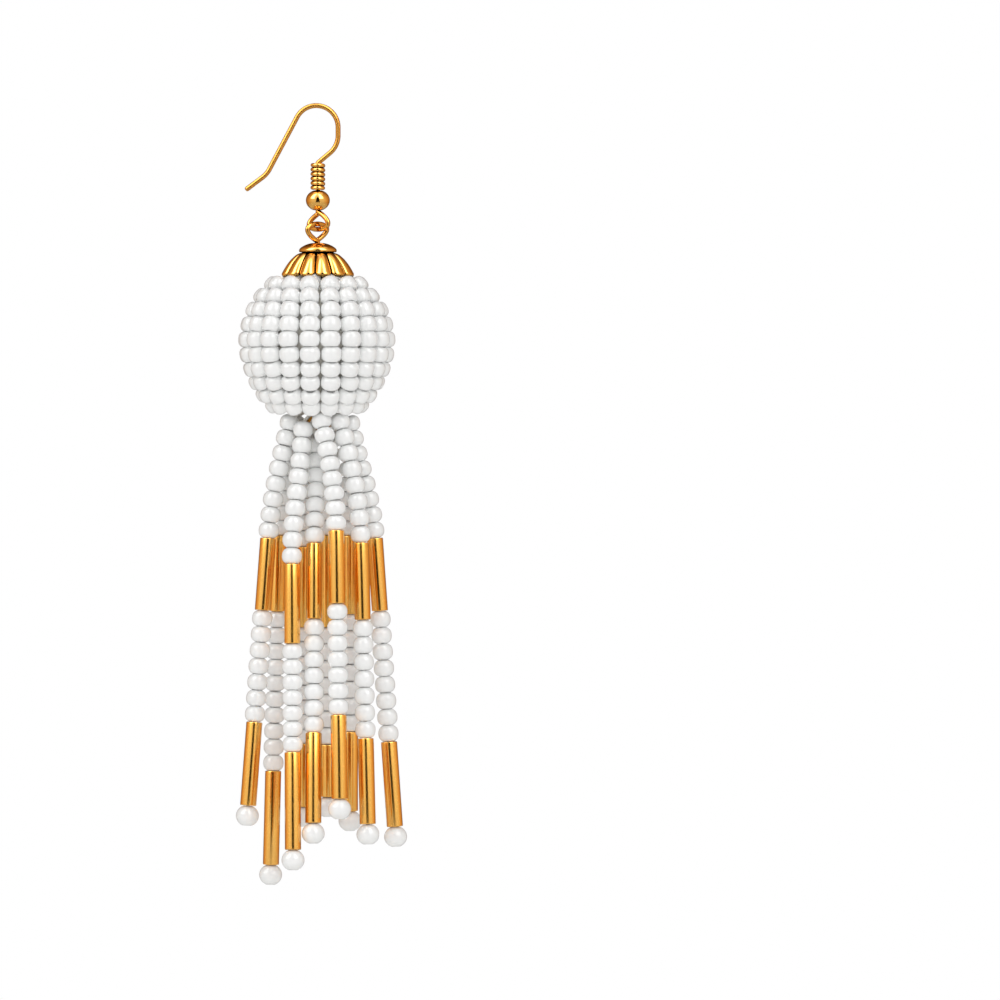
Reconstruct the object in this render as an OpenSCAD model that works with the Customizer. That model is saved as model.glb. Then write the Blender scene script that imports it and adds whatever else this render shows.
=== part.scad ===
// Dangle earring: a bent ear wire with a coil and a round bead, a fluted bead cap over a
// ball covered with seed beads, and a tassel of ten strands of seed beads and bugle beads.
// The origin is the underside of the bend, where the wire rests on the ear lobe.
// X points to the right, Z points up, and the front looks along -Y. Sizes are in millimetres.

/* [Ear wire] */
// Thickness of the ear wire and of the eye pin
wire_d = 0.7; // [0.66:0.01:0.72]
// Radius of the bend that sits in the ear, to the middle of the wire
bend_r = 3.05; // [2.9:0.05:3.2]
// Length of the straight shaft behind the ear
shaft_len = 8.25; // [6:0.05:9]
// Length of the outward flick at the end of the shaft
tip_len = 2.95; // [1.5:0.05:4]

/* [Coil and round bead] */
// Turns of the coil that is wound round the ear wire
coil_turns = 5.5; // [4:0.5:5.5]
// Thickness of the coil's wire
coil_wire_d = 0.56; // [0.45:0.01:0.56]
// Distance from one turn of the coil to the next
coil_pitch = 0.596; // [0.59:0.001:0.62]
// Width of the round bead under the coil
hook_bead_d = 3.36; // [3:0.02:3.6]
// Height of the round bead under the coil
hook_bead_h = 2.76; // [2.4:0.02:2.8]

/* [Linked loops] */
// Half of the width of each linked loop, to the middle of the wire
loop_half_w = 1.75; // [1.6:0.05:1.9]
// Half of the height of each linked loop, to the middle of the wire
loop_half_h = 1.25; // [1.25:0.01:1.35]
// Angle by which each linked loop is turned away from the front, in opposite ways
loop_turn = 36; // [34:1:45]

/* [Bead cap] */
// Number of petals round the cap
petals = 12; // [8:1:14]
// Radius of the cap at its rim
cap_r = 5.12; // [4.9:0.02:5.2]
// Thickness of the cap's metal
cap_wall = 0.4; // [0.3:0.05:0.5]

/* [Beaded ball] */
// Height of the ball's middle, below the origin
ball_z = -33.1; // [-33.3:0.1:-33]
// Radius of the ball out to the middle of its seed beads
net_r = 9.7; // [9.65:0.05:9.8]
// Columns of seed beads round the ball
net_columns = 20; // [16:1:22]
// Rows of seed beads from the cap to the tassel
net_rows = 10; // [8:1:12]
// Radius of the smooth core inside the beads
core_r = 8.1; // [7.6:0.1:8.1]
// Height of the core's pointed upper half, which reaches up into the cap
core_top_h = 9.3; // [8.5:0.1:9.3]

/* [Tassel] */
// Width of a seed bead
seed_d = 2.8; // [2.6:0.05:2.8]
// Width of a bugle bead
bugle_d = 2.2; // [2:0.05:2.2]
// Width of the round bead at the end of a strand
end_bead_d = 3.2; // [2.8:0.05:3.2]
// Height of the round bead at the end of a strand
end_bead_h = 2.76; // [2.4:0.02:2.8]
// Width of the hole through a bugle bead and through an end bead
bugle_bore = 1.1; // [0.9:0.05:1.2]
// Thickness of the thread inside the beads
thread_d = 0.5; // [0.4:0.05:0.6]

/* [Hidden] */
wire_r = wire_d / 2;
wire_sides = 8;
bore_gap = 0.1;

// Bends of the wire, from the top of the bend outwards.
// Columns: straight run before the bend, angle turned (left is positive), bend radius
SHAFT_BENDS = [
    [0, 62, bend_r],
    [shaft_len, -25, 3.5],
    [tip_len, 0, 1]
];
FRONT_BENDS = [
    [0, -90, bend_r],
    [1.123, -50, 3.2],
    [2.017, 50, 0.4]
];
bend_step = 12;

// Points along an arc that starts at p with heading a
function arc_points(p, a, turn, r) =
    let (n = ceil(abs(turn) / bend_step), s = sign(turn))
    [for (k = [1:n])
        let (b = a + turn * k / n)
        [p[0] + s * r * (sin(b) - sin(a)), p[1] - s * r * (cos(b) - cos(a))]];

// Points along a wire that is bent row by row, after its first point p
function bent(p, a, rows, i = 0) =
    i == len(rows) ? [] :
    let (q = p + rows[i][0] * [cos(a), sin(a)],
         arc = rows[i][1] == 0 ? [] : arc_points(q, a, rows[i][1], rows[i][2]),
         end = len(arc) == 0 ? q : arc[len(arc) - 1])
    concat(rows[i][0] > 0 ? [q] : [], arc, bent(end, a + rows[i][1], rows, i + 1));

function reversed(list) = [for (i = [len(list) - 1:-1:0]) list[i]];
function last(list) = list[len(list) - 1];
function mix(a, b, t) = a + (b - a) * t;
function ease(t) = let (c = min(max(t, 0), 1)) c * c * (3 - 2 * c);

// A solid round bar along a path of points, with a radius at each point
function unit(v) = v / norm(v);
function along(p, i) = unit(p[min(i + 1, len(p) - 1)] - p[max(i - 1, 0)]);
function sideways(p, u, i = 0) =
    i == len(p) ? [] :
    let (t = along(p, i), w = unit(u - (u * t) * t))
    concat([w], sideways(p, w, i + 1));
module bar(path, radii, sides) {
    first = abs(along(path, 0)[1]) < 0.9 ? [0, 1, 0] : [1, 0, 0];
    u = sideways(path, first);
    rings = [for (i = [0:len(path) - 1])
        let (v = cross(along(path, i), u[i]))
        for (k = [0:sides - 1])
            let (a = 360 * k / sides)
            path[i] + radii[i] * (cos(a) * u[i] + sin(a) * v)];
    walls = [for (i = [0:len(path) - 2], k = [0:sides - 1])
        let (n = (k + 1) % sides)
        each [[i * sides + k, (i + 1) * sides + k, (i + 1) * sides + n],
              [i * sides + k, (i + 1) * sides + n, i * sides + n]]];
    start = [[for (k = [0:sides - 1]) k]];
    end = [[for (k = [sides - 1:-1:0]) (len(path) - 1) * sides + k]];
    polyhedron(rings, concat(walls, start, end));
}
function same(path, r) = [for (p = path) r];

// A closed skin over rings of points that all have the same count
module ring_skin(rings) {
    count = len(rings[0]);
    n = len(rings);
    polyhedron(
        [for (ring = rings) each ring],
        [for (i = [0:n - 1], k = [0:count - 1])
            let (j = (i + 1) % n, m = (k + 1) % count)
            each [[i * count + k, i * count + m, j * count + m],
                  [i * count + k, j * count + m, j * count + k]]]);
}

// Heights down the stem, from the coil to the lower eye
front_path = bent([0, wire_r], 0, FRONT_BENDS);
stem_x = last(front_path)[0];
coil_gap = 0.13;
coil_top = last(front_path)[1] + 0.2;
coil_bottom = coil_top - coil_turns * coil_pitch - coil_wire_d;
hook_bead_z = coil_bottom - 0.02 - hook_bead_h / 2;
hook_neck = hook_bead_z - hook_bead_h / 2 - 0.18;
link_gap = 0.06;
pivot_z = hook_neck - 2 * loop_half_h;
eye_neck = pivot_z + wire_d + link_gap - 2 * loop_half_h;
cap_top = eye_neck - 0.16;
collar_r = 1.5;
collar_h = 1;
collar_top = ball_z - core_r - 0.1;
low_neck = collar_top - collar_h - 0.15;
low_eye_half_w = 1.5;
low_eye_half_h = 1.3;

// A loop with its neck at p and its ends side by side there, turned by an angle from the front
loop_end = 325;
loop_steps = 19;
loop_lap = wire_d + 0.05;
// Greatest value of the teardrop curve sin(t) * sin(t / 2)
teardrop_width = 0.77;
function loop_points(p, half_w, half_h, turn, way) =
    [for (k = [0:loop_steps])
        let (t = loop_end * k / loop_steps,
             x = way * half_w / teardrop_width * sin(t) * sin(t / 2),
             y = loop_lap * ease((t - 180) / 150),
             z = way * half_h * (cos(t) - 1))
        p + [x * cos(turn) - y * sin(turn), x * sin(turn) + y * cos(turn), z]];

// Outline of the cap from its hole to its rim.
// Columns: radius and drop as shares of the cap's, groove depth in mm
CAP_OUTSIDE = [
    [0.10, 0.000, 0],
    [0.26, 0.026, 0],
    [0.41, 0.100, 0],
    [0.49, 0.180, 0],
    [0.52, 0.235, 0],
    [0.46, 0.280, 0.28],
    [0.535, 0.330, 0.52],
    [0.645, 0.425, 0.63],
    [0.775, 0.570, 0.77],
    [0.89, 0.735, 0.90],
    [0.98, 0.910, 0.95],
    [1.00, 1.000, 0.92]
];
cap_h = 4.85;
petal_steps = 6;
cap_steps = petals * petal_steps;
// Turn of the first petal from the front towards the right
petal_turn = 11;
// How far a petal's rim rises in the groove beside it
scallop = 0.4;
function groove(k) = pow(abs(2 * (k % petal_steps) / petal_steps - 1), 3);
function cap_ring(r, z, depth) =
    [for (k = [0:cap_steps - 1])
        let (a = petal_turn - 90 + 360 * (k - petal_steps / 2) / cap_steps, g = groove(k))
        [stem_x + (r - depth * g) * cos(a), (r - depth * g) * sin(a), z]];
function cap_rim(r, z, depth) =
    [for (k = [0:cap_steps - 1])
        let (p = cap_ring(r, z, depth)[k])
        [p[0], p[1], z + scallop * groove(k)]];

// The net of seed beads: crests over the beads, valleys between them
net_top = 57;
net_bottom = -62;
row_step = (net_top - net_bottom) / (net_rows - 1);
// Half of the flat crown of each hump, as an angle of latitude
hump_half = row_step * 0.22;
net_crest = net_r + seed_d / 2;
net_valley = net_r + 0.65;
net_side = net_r - 0.1;
net_edge = net_r + 0.2;
net_inside = 8.5;
// Distance of the core's skin from the ball's middle, along a line at an angle of latitude
function core_reach(lat) =
    lat <= 0 ? core_r : 1 / norm([cos(lat) / core_r, sin(lat) / core_top_h]);
column_steps = 4;
inside_rows = 7;
// Turn of one column of beads from the front towards the right
column_turn = -5;
function net_ring(lat, crest, side) =
    [for (k = [0:net_columns * column_steps - 1])
        let (a = column_turn - 90 + 360 * k / (net_columns * column_steps),
             hump = [1, 0.8, 0, 0.8][k % column_steps],
             r = mix(side, crest, hump))
        [stem_x + r * cos(lat) * cos(a), r * cos(lat) * sin(a), ball_z + r * sin(lat)]];

// The strands, hung round the lower eye. The first six are in front, from left to right.
// Columns: x, y and z of the first bead's top; x, y and z of the upper bugle's top;
// x and y at the end; length of the upper bugle; z of the lower bugle's top and its length;
// how strongly the strand swings out at its top
STRANDS = [
    [-3.5, -0.5, -43.3, -6.7, -1.2, -60.2, -9.6, -2.0, 10.1, -85.9, 11.7, 1.3],
    [-1.7, -2.8, -43.9, -3.3, -5.9, -63.8, -3.1, -8.6, 11.1, -90.0, 13.6, 0.6],
    [0.1, -0.4, -46.2, -0.2, -4.1, -60.9, -0.3, -8.0, 10.6, -87.3, 12.6, 0],
    [0.7, -4.4, -43.3, 2.9, -6.7, -59.1, 3.4, -8.4, 10.2, -84.8, 11.7, 1.6],
    [3.2, -2.9, -43.3, 6.3, -4.6, -60.8, 7.3, -5.8, 10.8, -88.1, 12.0, 1.6],
    [4.6, -0.4, -43.5, 8.2, -0.2, -60.2, 11.1, 0.2, 10.2, -88.7, 11.9, 0.9],
    [-2.9, 2.4, -43.3, -5.3, 4.0, -59.8, -6.5, 5.4, 10.7, -92.9, 13.2, 0.8],
    [-0.7, 4.4, -43.7, -1.9, 6.2, -61.4, -1.9, 8.4, 11.3, -89.1, 8.9, 0.8],
    [2.2, 4.4, -43.7, 1.4, 4.9, -59.8, 1.5, 6.6, 12.9, -89.2, 7.4, 0.8],
    [4.4, 2.5, -43.7, 4.7, 4.4, -59.8, 4.6, 8.0, 11.0, -87.4, 11.2, 0.4]
];
strand_count = len(STRANDS);
strand_sides = 8;
seed_r = seed_d / 2;
thread_r = thread_d / 2;
// Height of the sloping shoulder at each end of a run of seed beads
shoulder = 0.5;
bead_gap = 0.03;

function end_z(s) = s[9] - s[10] - bead_gap - end_bead_h / 2;
function lean(s) = [s[6] - s[3], s[7] - s[4]] / (s[5] - end_z(s));
// A point on a strand at height z: a soft bend down to the upper bugle, then straight
function on_strand(s, z) =
    let (run = s[2] - s[5], t = (s[2] - z) / run, bend = t * t * t - t * t,
         e = ease(t) + s[11] * (t - 2 * t * t + t * t * t), below = s[5] - z)
    z > s[5] ?
        [mix(s[0], s[3], e) + bend * run * lean(s)[0],
         mix(s[1], s[4], e) + bend * run * lean(s)[1], z] :
        [s[3] + below * lean(s)[0], s[4] + below * lean(s)[1], z];

// A drilled round piece along the line from a to b
module along_line(a, b) {
    v = b - a;
    translate(a)
        rotate([0, acos(v[2] / norm(v)), atan2(v[1], v[0])])
            children();
}
module drilled_tube(length, d, bore) {
    difference() {
        cylinder(h = length, d = d, $fn = 48);
        translate([0, 0, -1])
            cylinder(h = length + 2, d = bore, $fn = 32);
    }
}
// A bead with flat ends round its hole, turned from a circle set off from the axis
module drilled_bead(d, h, bore) {
    difference() {
        rotate_extrude($fn = 48)
            intersection() {
                union() {
                    translate([d / 2 - h / 2, 0])
                        circle(d = h, $fn = 48);
                    translate([0, -h / 2])
                        square([d / 2 - h / 2, h]);
                }
                translate([0, -h])
                    square([d, 2 * h]);
            }
        cylinder(h = 2 * h, d = bore, center = true, $fn = 32);
    }
}

// Bent ear wire, with the loop that the drop hangs from
module ear_wire() {
    flat = concat(reversed(bent([0, wire_r], 180, SHAFT_BENDS)), [[0, wire_r]], front_path);
    path = concat([for (p = flat) [p[0], 0, p[1]]],
        loop_points([stem_x, 0, hook_neck], loop_half_w, loop_half_h, -loop_turn, 1));
    color("#D9952B") bar(path, same(path, wire_r), wire_sides);
}

// Fine wire wound round the ear wire
module wire_coil() {
    turn_steps = 10;
    steps = coil_turns * turn_steps;
    r = wire_r + coil_gap + coil_wire_d / 2;
    path = [for (k = [0:steps])
        let (a = 180 + 360 * k / turn_steps)
        [stem_x + r * cos(a), r * sin(a), coil_top - coil_wire_d / 2 - coil_pitch * k / turn_steps]];
    color("#D9952B") bar(path, same(path, coil_wire_d / 2), 6);
}

// Round metal bead under the coil
module hook_bead() {
    color("#E0A03A")
        translate([stem_x, 0, hook_bead_z])
            drilled_bead(hook_bead_d, hook_bead_h, wire_d + 2 * bore_gap);
}

// Pin with an eye at each end: the upper one is linked to the ear wire, the lower one
// holds the strands, and its shank carries the cap and the ball
module eye_pin() {
    upper = loop_points([stem_x, 0, eye_neck], loop_half_w, loop_half_h, loop_turn, -1);
    lower = loop_points([stem_x, 0, low_neck], low_eye_half_w, low_eye_half_h, 0, 1);
    path = concat(reversed(upper), lower);
    color("#D9952B") bar(path, same(path, wire_r), wire_sides);
}

// Fluted cap over the top of the ball
module bead_cap() {
    outside = [for (c = CAP_OUTSIDE) [c[0] * cap_r, cap_top - c[1] * cap_h, c[2]]];
    n = len(outside);
    rows = concat(
        [for (i = [0:n - 2]) cap_ring(outside[i][0], outside[i][1], outside[i][2])],
        [cap_rim(cap_r, cap_top - cap_h, outside[n - 1][2])],
        [cap_rim(cap_r - cap_wall, cap_top - cap_h + 0.06, outside[n - 1][2])],
        [for (i = [n - 2:-1:n - 6])
            cap_ring(outside[i][0] - cap_wall, outside[i][1] - cap_wall / 2, outside[i][2])],
        [cap_ring(outside[2][0], outside[6][1] - cap_wall, 0)],
        [cap_ring(outside[0][0], outside[4][1], 0)]);
    color("#D9952B") ring_skin(rows);
}

// Smooth drilled core, shaped like an egg, that the net of seed beads covers
module ball_core() {
    color("#C9C5BC")
        translate([stem_x, 0, ball_z])
            difference() {
                rotate_extrude($fn = 64)
                    polygon([for (lat = [-90:6:90])
                        core_reach(lat) * [max(cos(lat), 0), sin(lat)]]);
                cylinder(h = 2 * core_top_h + 2, d = wire_d + 2 * bore_gap, center = true,
                    $fn = 32);
            }
}

// Net of seed beads, as one hollow skin with a hump over each bead
module ball_net() {
    outside = [for (i = [0:net_rows - 1])
        let (lat = net_top - i * row_step)
        each concat(
            [net_ring(lat + hump_half, net_crest, net_side),
             net_ring(lat - hump_half, net_crest, net_side)],
            i < net_rows - 1 ? [net_ring(lat - row_step / 2, net_valley, net_side)] : [])];
    inside = [for (i = [0:inside_rows])
        let (lat = mix(net_bottom - row_step / 2, net_top + row_step / 2, i / inside_rows),
             r = max(net_inside, core_reach(lat) + 0.3))
        net_ring(lat, r, r)];
    color("#F4F4F3") ring_skin(concat(
        [net_ring(net_top + row_step / 2, net_edge, net_side)],
        outside,
        [net_ring(net_bottom - row_step / 2, net_edge, net_side)],
        inside));
}

// Band of wound thread on the pin that the strands are tied to
module thread_collar() {
    color("#EDEBE6")
        translate([stem_x, 0, collar_top - collar_h])
            drilled_tube(collar_h, 2 * collar_r, wire_d + 2 * bore_gap);
}

// One strand: its thread, as thick as the seed beads wherever it carries them
module strand(i) {
    s = STRANDS[i];
    way = unit([s[0] - stem_x, s[1]]);
    leg = (collar_r + thread_r + bead_gap) * way + [stem_x, 0];
    bugle_end = s[5] - s[8];
    // Columns: height on the strand, radius there
    stations = [
        [s[2], thread_r],
        [s[2] - shoulder, seed_r],
        [mix(s[2], s[5], 0.2), seed_r],
        [mix(s[2], s[5], 0.45), seed_r],
        [mix(s[2], s[5], 0.75), seed_r],
        [s[5] + shoulder, seed_r],
        [s[5], thread_r],
        [bugle_end, thread_r],
        [bugle_end - shoulder, seed_r],
        [s[9] + shoulder, seed_r],
        [s[9], thread_r],
        [end_z(s) - end_bead_h / 2 + 0.3, thread_r]
    ];
    path = concat(
        [[leg[0], leg[1], collar_top - collar_h / 2], [leg[0], leg[1], s[2] + 1]],
        [for (p = stations) on_strand(s, p[0])]);
    radii = concat([thread_r, thread_r], [for (p = stations) p[1]]);
    color("#F4F4F3") bar(path, radii, strand_sides);
}

// Long metallic beads of each strand
module bugle_upper(i) {
    s = STRANDS[i];
    a = on_strand(s, s[5]);
    b = on_strand(s, s[5] - s[8]);
    color("#D98A14") along_line(b, a) drilled_tube(norm(a - b), bugle_d, bugle_bore);
}
module bugle_lower(i) {
    s = STRANDS[i];
    a = on_strand(s, s[9]);
    b = on_strand(s, s[9] - s[10]);
    color("#D98A14") along_line(b, a) drilled_tube(norm(a - b), bugle_d, bugle_bore);
}

// Round bead at the end of each strand
module end_bead(i) {
    s = STRANDS[i];
    a = on_strand(s, end_z(s));
    color("#F4F4F3") along_line(a, on_strand(s, end_z(s) + 1))
        drilled_bead(end_bead_d, end_bead_h, bugle_bore);
}

ear_wire();
wire_coil();
hook_bead();
eye_pin();
bead_cap();
ball_core();
ball_net();
thread_collar();
for (i = [1:strand_count]) {
    strand(i - 1);
    bugle_upper(i - 1);
    bugle_lower(i - 1);
    end_bead(i - 1);
}
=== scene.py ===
# %% [markdown]
# # A beaded dangle earring
#
# This lesson dresses a finished CAD model of one earring: a gold ear wire, a ball
# covered in a net of white glass seed beads, and a tassel of ten bead strings with
# long gold bugle beads. The CAD part gives every size. Blender adds what a quick
# solid can't show: each single bead, rounded wire, softly shaped metal and glass.
# Every measure below is in millimetres, as on a maker's bench, and is turned into
# metres at the moment a mesh is made.

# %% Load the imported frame
import math
import random
from collections import namedtuple

import bpy
import numpy as np
from mathutils import Matrix, Vector


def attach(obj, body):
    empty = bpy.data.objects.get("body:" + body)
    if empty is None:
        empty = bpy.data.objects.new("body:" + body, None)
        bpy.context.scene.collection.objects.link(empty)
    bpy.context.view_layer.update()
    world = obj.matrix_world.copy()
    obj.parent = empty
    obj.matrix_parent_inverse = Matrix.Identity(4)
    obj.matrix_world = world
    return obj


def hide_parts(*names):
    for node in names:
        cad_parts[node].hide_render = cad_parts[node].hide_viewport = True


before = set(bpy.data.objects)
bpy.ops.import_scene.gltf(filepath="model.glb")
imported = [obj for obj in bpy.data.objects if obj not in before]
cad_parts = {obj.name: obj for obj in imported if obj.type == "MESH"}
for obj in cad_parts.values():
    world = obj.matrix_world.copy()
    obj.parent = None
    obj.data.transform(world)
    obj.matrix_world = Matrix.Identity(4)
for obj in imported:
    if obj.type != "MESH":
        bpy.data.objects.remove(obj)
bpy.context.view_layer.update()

# %% [markdown]
# ## Small helpers
#
# Colours on a screen are written as sRGB hex, but a renderer adds light in linear
# values, so one function does that change for every colour of the lesson. A shader
# is a graph of nodes, and one more function is enough to add a node with its
# settings and its links. A third turns a body of points and faces into an object
# and tells the frame which CAD body it rides on and which solid it stands for.

# %% Units, colours, nodes
MM = 0.001
WHITE = (1.0, 1.0, 1.0, 1.0)
BLACK = (0.0, 0.0, 0.0, 1.0)


def linear(hex_colour):
    """An sRGB hex colour as linear red, green, blue and alpha."""
    parts = [int(hex_colour[i:i + 2], 16) / 255 for i in (1, 3, 5)]
    return (*[c / 12.92 if c < 0.04045 else ((c + 0.055) / 1.055) ** 2.4 for c in parts], 1.0)


def add_node(tree, kind, inputs=None, stops=None, **settings):
    """Adds a node. An input is a plain value, or an output of another node to link from."""
    node = tree.nodes.new(kind)
    for name, value in settings.items():
        setattr(node, name, value)
    for name, value in (inputs or {}).items():
        if isinstance(value, bpy.types.NodeSocket):
            tree.links.new(value, node.inputs[name])
        else:
            node.inputs[name].default_value = value
    if stops:
        ramp = node.color_ramp.elements
        while len(ramp) > 1:
            ramp.remove(ramp[-1])
        ramp[0].position, ramp[0].color = stops[0]
        for position, value in stops[1:]:
            ramp.new(position).color = value
    return node


def new_material(name):
    """A material with a bare Principled shader: the tree and the shader to set up."""
    material = bpy.data.materials.new(name)
    material.use_nodes = True
    tree = material.node_tree
    shader = tree.nodes["Principled BSDF"]
    return material, tree, shader


def grey(level):
    """A neutral colour of one brightness, which may be over 1 where it is a light."""
    return (level, level, level, 1.0)


print("white glass body colour, linear:", [round(c, 3) for c in linear("#F3F4F3")])

# %% [markdown]
# ## The camera
#
# In the photo the whole earring is seen straight from the front, and its nearer
# beads are no larger than its farther ones. That is a long lens from far away. One
# pixel of the 1000 pixel frame is 0.14 mm where the earring hangs, so the distance
# follows from the lens: sensor width : lens = frame : distance.

# %% Camera
PIXEL = 0.14                 # mm of earring in one pixel of the frame
FRAME_PIXELS = 1000
ORIGIN_PIXEL = (316.3, 108.1)  # where the underside of the bend is in the frame
LENS = 400.0
SENSOR = 36.0

distance = FRAME_PIXELS * PIXEL * LENS / SENSOR
eye_x = (FRAME_PIXELS / 2 - ORIGIN_PIXEL[0]) * PIXEL
eye_z = -(FRAME_PIXELS / 2 - ORIGIN_PIXEL[1]) * PIXEL

camera_data = bpy.data.cameras.new("front_camera")
camera_data.lens = LENS
camera_data.sensor_width = SENSOR
camera_data.clip_start = 0.01
camera_data.clip_end = 20
camera = bpy.data.objects.new("front_camera", camera_data)
camera.location = Vector((eye_x, -distance, eye_z)) * MM
camera.rotation_euler = (math.radians(90), 0, 0)
bpy.context.scene.collection.objects.link(camera)
bpy.context.scene.camera = camera
print("camera", round(distance), "mm in front, at height", round(eye_z, 1), "mm")

# %% [markdown]
# ## Light tent
#
# Polished gold has no colour of its own to show: it shows the room. The photo's
# bugle beads each have a thin dark line down the middle with a pale stripe on each
# side, and the round bead and each petal show one small black wedge. That is a white
# tent with a dark wedge-shaped opening for the lens, wide at its foot and narrow at
# its top. The world shader draws this tent by direction: how far round from the lens
# a ray looks (azimuth), and how far up. Camera rays see plain white instead, as on
# the photo's paper.

# %% The tent as a world shader
world = bpy.data.worlds.new("light_tent")
bpy.context.scene.world = world
world.use_nodes = True
# Each ray looks the tent up for itself, so that dull and polished surfaces can tell apart.
world.cycles.sampling_method = "NONE"
tent = world.node_tree
tent.nodes.clear()

look = add_node(tent, "ShaderNodeTexCoord").outputs["Generated"]
axes = add_node(tent, "ShaderNodeSeparateXYZ", {"Vector": look})
to_lens = add_node(tent, "ShaderNodeMath", {0: axes.outputs["Y"], 1: -1.0}, operation="MULTIPLY")
turn = add_node(
    tent, "ShaderNodeMath", {0: axes.outputs["X"], 1: to_lens.outputs[0]}, operation="ARCTAN2")
side = add_node(tent, "ShaderNodeMath", {0: turn.outputs[0]}, operation="ABSOLUTE")
height_share = add_node(
    tent, "ShaderNodeMapRange",
    {"Value": axes.outputs["Z"], "From Min": -1.0, "From Max": 1.0, "To Min": 0.0, "To Max": 1.0})
# The opening is a wedge: the sine of the height, and its half width there in degrees.
OPENING = [(-0.5, 25.0), (-0.1, 16.5), (0.05, 15.5), (0.3, 15.0), (0.5, 11.0), (0.72, 4.0)]
EDGE = 12.0                  # each half width is stretched to this many degrees
widening = add_node(
    tent, "ShaderNodeValToRGB", {"Fac": height_share.outputs[0]},
    stops=[((z + 1) / 2, grey(EDGE / half)) for z, half in OPENING])
spread = add_node(
    tent, "ShaderNodeMath", {0: side.outputs[0], 1: widening.outputs["Color"]},
    operation="MULTIPLY")
half_turn = add_node(tent, "ShaderNodeMath", {0: side.outputs[0], 1: math.pi}, operation="DIVIDE")
half_spread = add_node(
    tent, "ShaderNodeMath", {0: spread.outputs[0], 1: math.pi}, operation="DIVIDE")

# Degrees round from the lens, and the light of the tent wall there. White cloth hangs
# in front; gold card stands at the sides and behind, which deepens gold in its shade.
WALL = [(0, 0.92, 0.85, 0.70), (30, 0.95, 0.90, 0.80), (52, 0.98, 0.93, 0.88),
        (68, 0.94, 0.82, 0.62), (87, 0.84, 0.59, 0.34), (109, 0.68, 0.40, 0.17),
        (140, 0.36, 0.19, 0.06), (165, 0.12, 0.05, 0.01), (180, 0.08, 0.03, 0.01)]
wall = add_node(
    tent, "ShaderNodeValToRGB", {"Fac": half_turn.outputs[0]},
    stops=[(degrees / 180, (*light, 1.0)) for degrees, *light in WALL])
opening = add_node(
    tent, "ShaderNodeValToRGB", {"Fac": half_spread.outputs[0]},
    stops=[(0.0, grey(0.01)), ((EDGE - 1) / 180, grey(0.02)), ((EDGE + 1) / 180, WHITE)])

# The sine of the height: floor, wall, and the ceiling of the tent.
HEIGHT = [(-1.0, 0.78), (-0.4, 0.84), (-0.1, 0.98), (0.12, 1.0), (0.4, 0.96), (0.8, 0.90),
          (1.0, 0.6)]
height_level = add_node(
    tent, "ShaderNodeValToRGB", {"Fac": height_share.outputs[0]},
    stops=[((z + 1) / 2, grey(level)) for z, level in HEIGHT])
lit_wall = add_node(tent, "ShaderNodeVectorMath",
                    {0: wall.outputs["Color"], 1: height_level.outputs["Color"]},
                    operation="MULTIPLY")

# Two tall windows of diffusion cloth glow beside the lens, the left one farther round.
WINDOWS = [(-180, 0.0), (-82, 0.0), (-70, 0.6), (-56, 1.0), (-42, 0.9), (-31, 0.06), (14, 0.06),
           (24, 0.9), (38, 1.0), (50, 0.7), (60, 0.06), (70, 0.0)]
full_turn = add_node(
    tent, "ShaderNodeMapRange",
    {"Value": turn.outputs[0], "From Min": -math.pi, "From Max": math.pi})
window_side = add_node(
    tent, "ShaderNodeValToRGB", {"Fac": full_turn.outputs[0]},
    stops=[(degrees / 360 + 0.5, grey(level)) for degrees, level in WINDOWS])
WINDOW_TOP = [(0.0, 0.0), (0.24, 0.0), (0.40, 1.0), (0.92, 1.0), (0.99, 0.2)]
window_rise = add_node(
    tent, "ShaderNodeValToRGB", {"Fac": height_share.outputs[0]},
    stops=[((z + 1) / 2, grey(level)) for z, level in WINDOW_TOP])
window = add_node(tent, "ShaderNodeVectorMath",
                  {0: window_side.outputs["Color"], 1: window_rise.outputs["Color"]},
                  operation="MULTIPLY")
WINDOW_LIGHT = 6.2
bright = add_node(tent, "ShaderNodeVectorMath",
                  {0: window.outputs[0], 1: (WINDOW_LIGHT,) * 3, 2: lit_wall.outputs[0]},
                  operation="MULTIPLY_ADD")

# The tent's roof is white cloth all round, which lights the dome and the petals' tops.
ROOF = [(-1.0, 0.0), (0.80, 0.0), (0.92, 0.8), (1.0, 0.95)]
roof_light = add_node(
    tent, "ShaderNodeValToRGB", {"Fac": height_share.outputs[0]},
    stops=[((z + 1) / 2, grey(level)) for z, level in ROOF])
roofed = add_node(tent, "ShaderNodeVectorMath",
                  {0: bright.outputs[0], 1: roof_light.outputs["Color"]}, operation="ADD")

# The wedge ends above the lens, and a sharp edge below it is the table's.
closed = add_node(
    tent, "ShaderNodeValToRGB", {"Fac": height_share.outputs[0]},
    stops=[(0.0, WHITE), (0.225, WHITE), (0.245, BLACK), (0.83, BLACK), (0.86, WHITE)])
# A Mix node's colour sockets share their names with its float ones, so they go by number.
wedge = add_node(
    tent, "ShaderNodeMix",
    {0: closed.outputs["Color"], 6: opening.outputs["Color"], 7: WHITE}, data_type="RGBA")
lit = add_node(tent, "ShaderNodeVectorMath",
               {0: roofed.outputs[0], 1: wedge.outputs[2]}, operation="MULTIPLY")

# Dull surfaces gather light from all round, so for them the tent is one even glow.
EVEN_GLOW = 0.62
glow = add_node(
    tent, "ShaderNodeValToRGB", {"Fac": height_share.outputs[0]},
    stops=[(0.0, grey(0.80)), (0.5, grey(0.92)), (1.0, grey(1.0))])

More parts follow.
